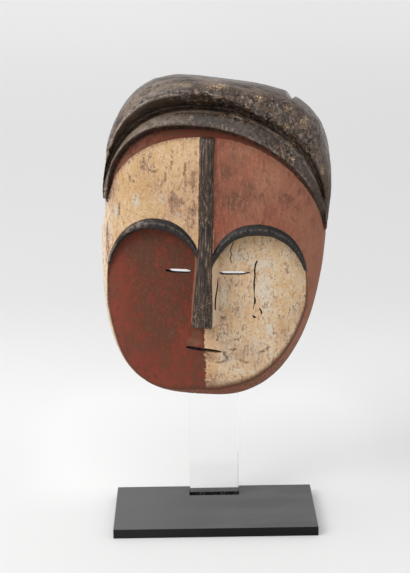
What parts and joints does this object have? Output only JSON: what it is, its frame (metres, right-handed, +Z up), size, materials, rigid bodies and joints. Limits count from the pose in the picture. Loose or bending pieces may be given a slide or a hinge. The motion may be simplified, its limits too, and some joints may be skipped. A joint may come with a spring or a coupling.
{
  "type": "carved face mask on a display stand",
  "caption": "Oval carved wooden face mask with quartered red and cream paint, resting on a clear upright in a black base plate.",
  "frame": {"origin": "middle of the base plate's underside, where it rests on a shelf", "axes": "+Z up, +X to the viewer's right of the face, the face looks towards -Y"},
  "size_m": [0.2239, 0.1212, 0.4425],
  "materials": {
    "painted_wood": "matt mineral paint in red, cream and black, rubbed and worn, over bare carved wood",
    "clear_acrylic": "clear, polished",
    "black_acrylic": "black, satin gloss"
  },
  "bodies": {
    "root": {"mask": "painted_wood", "upright": "clear_acrylic", "base_plate": "black_acrylic"}
  },
  "joints": []
}
